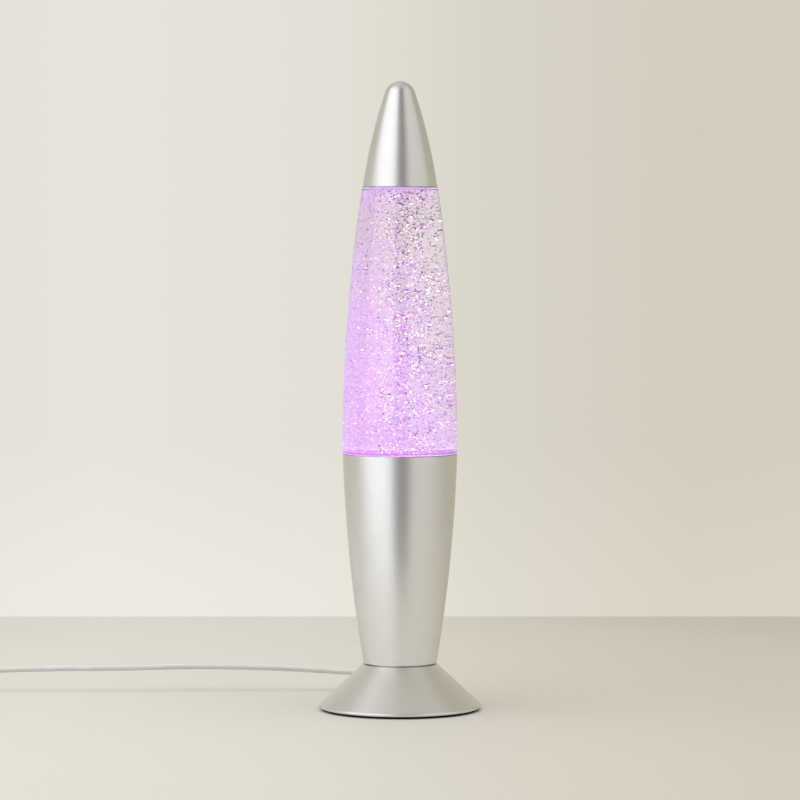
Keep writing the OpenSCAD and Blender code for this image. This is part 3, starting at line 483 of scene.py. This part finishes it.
SHEATH = moulded("cord_sheath", "b5b5b8", rough=0.38, grain_scale=SHEATH_GRAIN, **MILKY)
cord.data.materials.append(SHEATH)
dress(SHEATH, "cord_bush", "inner_cord", "plug_grip", "coil_tie")
dress(satin_silver(), "top_cap", "base_cup", "base_foot")
dress(clear_glass(), "glass_bottle")
dress(lit_diffuser(), "diffuser")
dress(plain_metal("zinc_steel", "b9bbbd", rough=0.3), "tube_nuts", "tube_washers", "motor_case",
      "motor_screws", "motor_shaft", "switch_pin", "switch_screws", "plug_shell")
dress(plain_metal("bright_brass", "d9b566", rough=0.25), "centre_tube", "switch_contacts")
dress(plain_metal("nickel_magnet", "c9cbd0", rough=0.15), "drive_magnets", "stirrer_magnets")
dress(moulded("black_foam", "19191b", rough=0.85, grain_scale=FOAM_GRAIN, grain_depth=FOAM_DEPTH),
      "anti_slip_pad", "stopper_seal")
dress(moulded("black_plastic", "232325", rough=0.5), "bottom_cover", "motor_end_cap", "cap_ring",
      "control_chip")
dress(moulded("white_plastic", "e2e1de", rough=0.32), "light_tray", "stirrer", "bottle_stopper",
      "switch_lower_shell", "switch_upper_shell", "plug_tongue")
dress(moulded("rocker_plastic", "d6d6d6", rough=0.28), "switch_rocker")
dress(moulded("blue_plastic", "2b4f8c", rough=0.4), "drive_disc")
dress(moulded("solder_mask", "f1f1ec", rough=0.3), "led_board")
dress(moulded("led_resin", "efe0a8", rough=0.2), "leds")
dress(moulded("wire_red", "b8261d", rough=0.4), "cord_leads")
dress(moulded("wire_blue", "345fb8", rough=0.4), "motor_leads")


# Liquid, drawn out until it wets the glass

LIQUID_CLEAR = 0.2 * MM
WET_OVERLAP = 0.1 * MM
SAME_PLACE = 0.001 * MM
SHARP = math.radians(35)


def make_liquid():
    body = bmesh.new()
    body.from_mesh(NODES["liquid_fill"].data)
    bmesh.ops.remove_doubles(body, verts=body.verts, dist=SAME_PLACE)
    body.normal_update()
    moved = [v.co + v.normal * (LIQUID_CLEAR + WET_OVERLAP) for v in body.verts]
    for vert, place in zip(body.verts, moved):
        vert.co = place
    for face in body.faces:
        face.smooth = True
    for edge in body.edges:
        edge.smooth = edge.calc_face_angle(0) < SHARP
    mesh = bpy.data.meshes.new("liquid")
    body.to_mesh(mesh)
    body.free()
    mesh.materials.append(lit_liquid())
    liquid = new_object("liquid", mesh)
    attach(liquid, "bottle_unit")
    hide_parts("liquid_fill")


make_liquid()


# Glitter

# Sides of the cup and the bottle, as the solids have them
CUP_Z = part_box("base_cup")[0].z
CUP_FLOOR_R = 23.6 * MM
CUP_RIM_R = 37.0 * MM
CUP_BULGE = 2.4 * MM
SUNK_INSET = 3.8 * MM
LEDGE_H = 2.0 * MM
GLASS_TOP_R = 24.4 * MM
GLASS_BULGE = 3.2 * MM
GLASS_T = 2.5 * MM
# Flakes, with their radius in millimetres
FLAKES = 17000
SIDES = 6
SIDE_TURNS = np.arange(SIDES) * 2 * math.pi / SIDES
FLAKE_R = (0.3, 0.56)
FLAKE_HALF_T = 0.02 * MM
ROOM_OVER_STIRRER = 1.5 * MM
ROOM_UNDER_SHOULDER = 4 * MM
# Shares of the glass's height: where flakes begin to thin out, and the rise to the full loss
THIN_FROM = 0.3
THIN_RISE = 0.5
# The full loss: everywhere, then more at the left and the right, and more still at the right
LOST_EVERYWHERE = 0.2
LOST_AT_SIDES = 0.3
LOST_AT_RIGHT = 0.15
# Flakes near the glass lie along it, and the loose ones lie any way
WALL_SHARE = 0.7
WALL_GAP = 1.0 * MM
WALL_DEPTH = 2 * MM
WALL_DEEPEST = 8 * MM
LYING_TILT = 0.12
LOOSE_TILT = 3.0
# Stirred flakes are larger and lie less flat. How stirred they are, from left to right and from the rim up
STIRRED_TILT = 0.22
STIRRED_EXTRA_R = 0.12
STIRRED_ACROSS = ([-0.4, 0.0, 0.4, 0.9], [0, 1, 0.9, 0.2])
STIRRED_UP = ([RIM_Z, RIM_Z + 60 * MM], [0.4, 1])
# Radius of a flake's top and bottom in its square of the UV map
MAP_TOP_R = 0.45
MAP_BOTTOM_R = 0.3
# Name, colour, roughness, glow and share of each kind
FLAKE_KINDS = [
    ("glitter_silver", "fbf7f2", 0.10, 0.29, 0.46),
    ("glitter_pearl", "f8f3f6", 0.16, 0.29, 0.30),
    ("glitter_lilac", "d9b8ff", 0.15, 0.42, 0.12),
    ("glitter_pink", "f6c4f6", 0.15, 0.42, 0.05),
    ("glitter_blue", "c3c9ff", 0.15, 0.38, 0.03),
    ("glitter_gold", "ffdfb4", 0.15, 0.38, 0.02),
    # The dark kind is painted shade: dark flakes that stand for flakes seen in shade
    ("glitter_painted_shade", "6d5a7c", 0.15, 0.2, 0.02),
]


def arc_radius(z, low, high, bulge, inset):
    """Radius at heights z inside a wall that bulges out between a low and a high (radius, height) point."""
    low, high = np.array(low), np.array(high)
    chord = np.linalg.norm(high - low)
    arc_r = chord ** 2 / (8 * bulge) + bulge / 2
    along = (high - low) / chord
    centre = (low + high) / 2 - np.array([along[1], -along[0]]) * (arc_r - bulge)
    return centre[0] + np.sqrt((arc_r - inset) ** 2 - (z - centre[1]) ** 2)


def inner_radius(z):
    """Radius of the bottle's inside at heights z, in the cup and above it."""
    sunk = arc_radius(z, (CUP_FLOOR_R, CUP_Z), (CUP_RIM_R, RIM_Z), CUP_BULGE, SUNK_INSET)
    free = arc_radius(z, (GLASS_R, RIM_Z), (GLASS_TOP_R, SHOULDER_Z), GLASS_BULGE, GLASS_T)
    return np.where(z < RIM_Z + LEDGE_H, sunk, free)


def unit(vectors):
    return vectors / np.linalg.norm(vectors, axis=1)[:, None]


def flake_places(rng):
    """Height of each flake and its turn about the lamp's axis, with some lost in the upper part."""
    z = rng.uniform(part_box("stirrer")[1].z + ROOM_OVER_STIRRER, SHOULDER_Z - ROOM_UNDER_SHOULDER, FLAKES)
    turn = rng.uniform(0, 2 * math.pi, FLAKES)
    thin = (((z - RIM_Z) / (SHOULDER_Z - RIM_Z) - THIN_FROM) / THIN_RISE).clip(0, 1)
    right = np.cos(turn)
    lost = thin * (LOST_EVERYWHERE + LOST_AT_SIDES * np.abs(right) + LOST_AT_RIGHT * right.clip(0, 1))
    keep = rng.random(FLAKES) > lost
    return z[keep], turn[keep]


def flake_corners():
    """Corners of each flake, those of its top before those of its bottom, and its kind."""
    rng = np.random.default_rng(SEED)
    z, turn = flake_places(rng)
    count = len(z)
    stirred = np.interp(np.cos(turn), *STIRRED_ACROSS) * np.interp(z, *STIRRED_UP)
    wall = rng.random(count) < WALL_SHARE
    room = inner_radius(z) - WALL_GAP
    near_wall = room - rng.exponential(WALL_DEPTH, count).clip(0, WALL_DEEPEST)
    anywhere = room * np.sqrt(rng.random(count))
    r = np.where(wall, near_wall, anywhere)
    outward = np.stack([np.cos(turn), np.sin(turn), np.zeros(count)], 1)
    centre = r[:, None] * outward
    centre[:, 2] = z
    tilt = np.where(wall, LYING_TILT + STIRRED_TILT * stirred, LOOSE_TILT)
    facing = unit(outward + tilt[:, None] * rng.normal(0, 1, (count, 3)))
    side = unit(np.cross(facing, rng.normal(0, 1, (count, 3))))
    size = (rng.uniform(*FLAKE_R, count) + STIRRED_EXTRA_R * stirred) * MM
    turns = SIDE_TURNS[None, :, None]
    ring = np.cos(turns) * side[:, None] + np.sin(turns) * np.cross(facing, side)[:, None]
    ring = centre[:, None] + size[:, None, None] * ring
    half = FLAKE_HALF_T * facing[:, None]
    kind = rng.choice(len(FLAKE_KINDS), count, p=[share for *_, share in FLAKE_KINDS])
    return np.concatenate([ring + half, ring - half], 1), kind


def flake_faces(first):
    """Top, bottom and sides of the flake whose corners start at a given one."""
    top = [first + i for i in range(SIDES)]
    low = [first + SIDES + i for i in range(SIDES)]
    sides = zip(top, low, low[1:] + low[:1], top[1:] + top[:1])
    return [top, low[::-1], *sides]


def flake_map(mesh, count):
    """UV map with a square for each flake, where its top fills a hexagon and its bottom a smaller one."""
    across = math.ceil(math.sqrt(count))
    hexagon = np.stack([np.cos(SIDE_TURNS), np.sin(SIDE_TURNS)], 1)
    corners = 0.5 + np.concatenate([MAP_TOP_R * hexagon, MAP_BOTTOM_R * hexagon])
    squares = np.stack([np.arange(count) % across, np.arange(count) // across], 1)
    places = ((squares[:, None] + corners) / across).reshape(-1, 2)
    used = np.empty(len(mesh.loops), np.int32)
    mesh.loops.foreach_get("vertex_index", used)
    layer = mesh.uv_layers.new(name="OFBake")
    layer.uv.foreach_set("vector", places[used].astype(np.float32).ravel())


def make_glitter():
    """One piece for each kind of flake. The first stands for the solid's flakes."""
    corners, kind = flake_corners()
    for k, (name, code, rough, glow, _) in enumerate(FLAKE_KINDS):
        mine = corners[kind == k]
        faces = [face for i in range(len(mine)) for face in flake_faces(2 * SIDES * i)]
        mesh = bpy.data.meshes.new(name)
        mesh.from_pydata(mine.reshape(-1, 3).tolist(), [], faces)
        flake_map(mesh, len(mine))
        mesh.materials.append(flake_film(name, code, rough, glow))
        piece = new_object(name, mesh)
        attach(piece, "bottle_unit")
        if k == 0:
            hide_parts("glitter_flakes")


make_glitter()


# Table and backdrop

BACKDROP_Y = 579 * MM
BACKDROP_LOW = -0.1
BACKDROP_HIGH = 3.0
TABLE_FRONT_Y = -320 * MM
TABLE_ROUGH = 0.7
STAGE_HALF = 4.0
FLOOR_HALF = 14.0
# Reach from the lamp over which the camera sees the stage turn pale
FLOOR_FADE = (0.68, 1.25)
BACKDROP_FADE = (0.87, 1.4)
PALE = srgb("dedbd1")
# Colours from left to right, at places in metres that lie within this half width
COLOURS_HALF = 1.0
# Painted light falloff on the backdrop: lighter on the left, darker to the right
BACKDROP_PAINTED_FALLOFF = [
    (-0.5, (0.81, 0.78, 0.70, 1)), (-0.32, srgb("e5e2db")), (-0.24, srgb("e7e4dd")),
    (-0.05, srgb("e3e0d7")), (0.065, srgb("d9d5c9")), (0.235, srgb("d3cdbf")), (0.32, srgb("d4cec0")),
    (0.5, (0.69, 0.67, 0.61, 1)),
]
BACKDROP_MIRRORED = [
    (-1.0, (0.60, 0.57, 0.47, 1)), (-0.42, (0.62, 0.59, 0.49, 1)), *BACKDROP_PAINTED_FALLOFF[1:-1],
    (0.42, (0.54, 0.50, 0.39, 1)), (1.0, (0.52, 0.48, 0.37, 1)),
]
# Painted light falloff on the table: lighter on the left, darker to the right
TABLE_PAINTED_FALLOFF = [
    (-0.24, (0.506, 0.502, 0.48, 1)), (-0.05, (0.473, 0.469, 0.438, 1)),
    (0.065, (0.447, 0.434, 0.395, 1)), (0.235, (0.415, 0.401, 0.357, 1)),
]
# Brightness of the backdrop, by height in metres
BACKDROP_LEVELS = [(0.02, 1.07), (0.14, 1.0), (0.5, 1.0), (0.9, 0.85)]


def gradient(tree, stops):
    """Colours from left to right."""
    return ramp_between(tree, coordinates(tree)["X"], -COLOURS_HALF, COLOURS_HALF, stops)


def fade_far(tree, shader, near, far):
    """Shader that turns pale far from the lamp where the camera sees it."""
    place = add(tree, "ShaderNodeTexCoord").outputs["Object"]
    reach = add(tree, "ShaderNodeVectorMath", operation="LENGTH", Vector=place).outputs["Value"]
    camera = add(tree, "ShaderNodeLightPath").outputs["Is Camera Ray"]
    share = calculate(tree, "MULTIPLY", map_range(tree, reach, near, far, kind="SMOOTHSTEP"), camera)
    pale = add(tree, "ShaderNodeEmission", Color=PALE)
    return mix_shaders(tree, share, shader, pale.outputs[0])


def panels(name, quads, mat):
    """Stage piece of flat panels, each given by its four corners."""
    corners = [corner for quad in quads for corner in quad]
    mesh = bpy.data.meshes.new(name)
    mesh.from_pydata(corners, [], [range(i, i + 4) for i in range(0, len(corners), 4)])
    mesh.materials.append(mat)
    piece = new_object(name, mesh)
    return piece


def flat(x0, y0, x1, y1):
    """Corners of a level panel."""
    return [(x0, y0, 0), (x1, y0, 0), (x1, y1, 0), (x0, y1, 0)]


def backdrop_paper():
    """Paper seen from its front only. It looks evenly lit, but its colours carry painted light falloff,
    lighter on the left and darker to the right, with darker ends where satin metal mirrors it.
    """
    mat, tree, shader = new_material("backdrop")
    tree.nodes.remove(shader)
    path = add(tree, "ShaderNodeLightPath").outputs
    mirrored = gradient(tree, BACKDROP_MIRRORED)
    satin = calculate(tree, "SUBTRACT", path["Is Glossy Ray"], path["Is Singular Ray"], clamp=True)
    colour = mix_colours(tree, satin, gradient(tree, BACKDROP_PAINTED_FALLOFF), mirrored)
    level = ramp(tree, coordinates(tree)["Z"], greys(BACKDROP_LEVELS))
    even = add(tree, "ShaderNodeEmission", Color=colour, Strength=level)
    lit = add(tree, "ShaderNodeBsdfDiffuse", Color=mirrored)
    seen = calculate(tree, "ADD", path["Is Camera Ray"], path["Is Glossy Ray"])
    seen = calculate(tree, "ADD", seen, path["Is Transmission Ray"], clamp=True)
    front = fade_far(tree, mix_shaders(tree, seen, lit.outputs[0], even.outputs[0]), *BACKDROP_FADE)
    behind = add(tree, "ShaderNodeNewGeometry").outputs["Backfacing"]
    nothing = add(tree, "ShaderNodeBsdfTransparent").outputs[0]
    fill(tree.nodes["Material Output"], Surface=mix_shaders(tree, behind, front, nothing))
    return mat


def table_top():
    """Plain table, which turns pale far off. Its colour carries painted light falloff, lighter on the left.
    """
    mat, tree, shader = new_material("table", Roughness=TABLE_ROUGH)
    fill(shader, Base_Color=gradient(tree, TABLE_PAINTED_FALLOFF))
    fill(tree.nodes["Material Output"], Surface=fade_far(tree, shader.outputs[0], *FLOOR_FADE))
    return mat


def make_stage():
    """Backdrop, table, and a wider floor round the table that the metal doesn't mirror."""
    near, wide = STAGE_HALF, FLOOR_HALF
    front, back = TABLE_FRONT_Y, BACKDROP_Y
    low = [(x, back, BACKDROP_LOW) for x in (-near, near)]
    high = [(x, back, BACKDROP_HIGH) for x in (near, -near)]
    panels("backdrop", [low + high], backdrop_paper())
    top = table_top()
    panels("table", [flat(-near, front, near, back)], top)
    floor = panels("floor", [
        flat(-wide, -wide, wide, front), flat(-wide, back, wide, wide),
        flat(-wide, front, -near, back), flat(near, front, wide, back),
    ], top)
    floor.visible_glossy = False


make_stage()


# Light

LAMP_PLACE = Vector((0, -0.25, 1.2))
LAMP_AIM = Vector((0, -0.1, 0))
LAMP_WIDTH = 2.4
LAMP_DEPTH = 1.8
LAMP_RADIANCE = 1.9
LAMP_COLOUR = (1.0, 0.985, 0.96)
WHITE_LIGHT = (1, 0.99, 0.99)
SLOT_LIGHT = (1, 0.98, 0.93)
WARM_LIGHT = (0.98, 0.94, 0.86)
# The room from left to right, by the X of a direction: place, level and colour
ROOM = [
    (-1.0, 0.7, WARM_LIGHT), (-0.96, 1.25, WHITE_LIGHT), (-0.3, 1.25, WHITE_LIGHT),
    (-0.15, 0.18, SLOT_LIGHT), (0.28, 0.18, SLOT_LIGHT), (0.38, 0.82, WARM_LIGHT), (1.0, 0.7, WARM_LIGHT),
]
# How far the room leans to the right as it rises
ROOM_LEAN = 0.1
# The ceiling, and the Z of directions between which the room turns into it
CEILING = (0.60, 0.58, 0.49, 1)
CEILING_RISE = (0.78, 0.99)
# The Z of directions between which the room rises from its low level to its full one
ROOM_RISE = (-0.5, 0.2)
ROOM_LOW_LEVEL = 0.85


def make_lamp():
    """Wide lamp overhead that the metal doesn't mirror."""
    data = bpy.data.lights.new("top", "AREA")
    data.shape = "RECTANGLE"
    data.size = LAMP_WIDTH
    data.size_y = LAMP_DEPTH
    data.energy = LAMP_RADIANCE * math.pi * LAMP_WIDTH * LAMP_DEPTH
    data.color = LAMP_COLOUR
    lamp = new_object("top", data)
    lamp.location = LAMP_PLACE
    lamp.rotation_euler = (LAMP_AIM - LAMP_PLACE).to_track_quat("-Z", "Y").to_euler()
    lamp.visible_glossy = False


def make_world():
    """Room lit from two sides, whiter on the left, with a dark slot between. The camera sees it as pale."""
    world = bpy.data.worlds.new("room")
    world.use_nodes = True
    scene.world = world
    tree = world.node_tree
    axes = coordinates(tree, "Generated")
    across = calculate(tree, "MULTIPLY_ADD", axes["Z"], -ROOM_LEAN, axes["X"])
    room = ramp_between(tree, across, -1, 1, [(x, scaled(tint, level)) for x, level, tint in ROOM])
    above = map_range(tree, axes["Z"], *CEILING_RISE, kind="SMOOTHSTEP")
    strength = map_range(tree, axes["Z"], *ROOM_RISE, to_low=ROOM_LOW_LEVEL, kind="SMOOTHSTEP")
    light = tree.nodes["Background"]
    fill(light, Color=mix_colours(tree, above, room, CEILING), Strength=strength)
    pale = add(tree, "ShaderNodeBackground", Color=PALE)
    camera = add(tree, "ShaderNodeLightPath").outputs["Is Camera Ray"]
    shown = mix_shaders(tree, camera, light.outputs[0], pale.outputs[0])
    fill(tree.nodes["World Output"], Surface=shown)


make_lamp()
make_world()


# Update


bpy.context.view_layer.update()
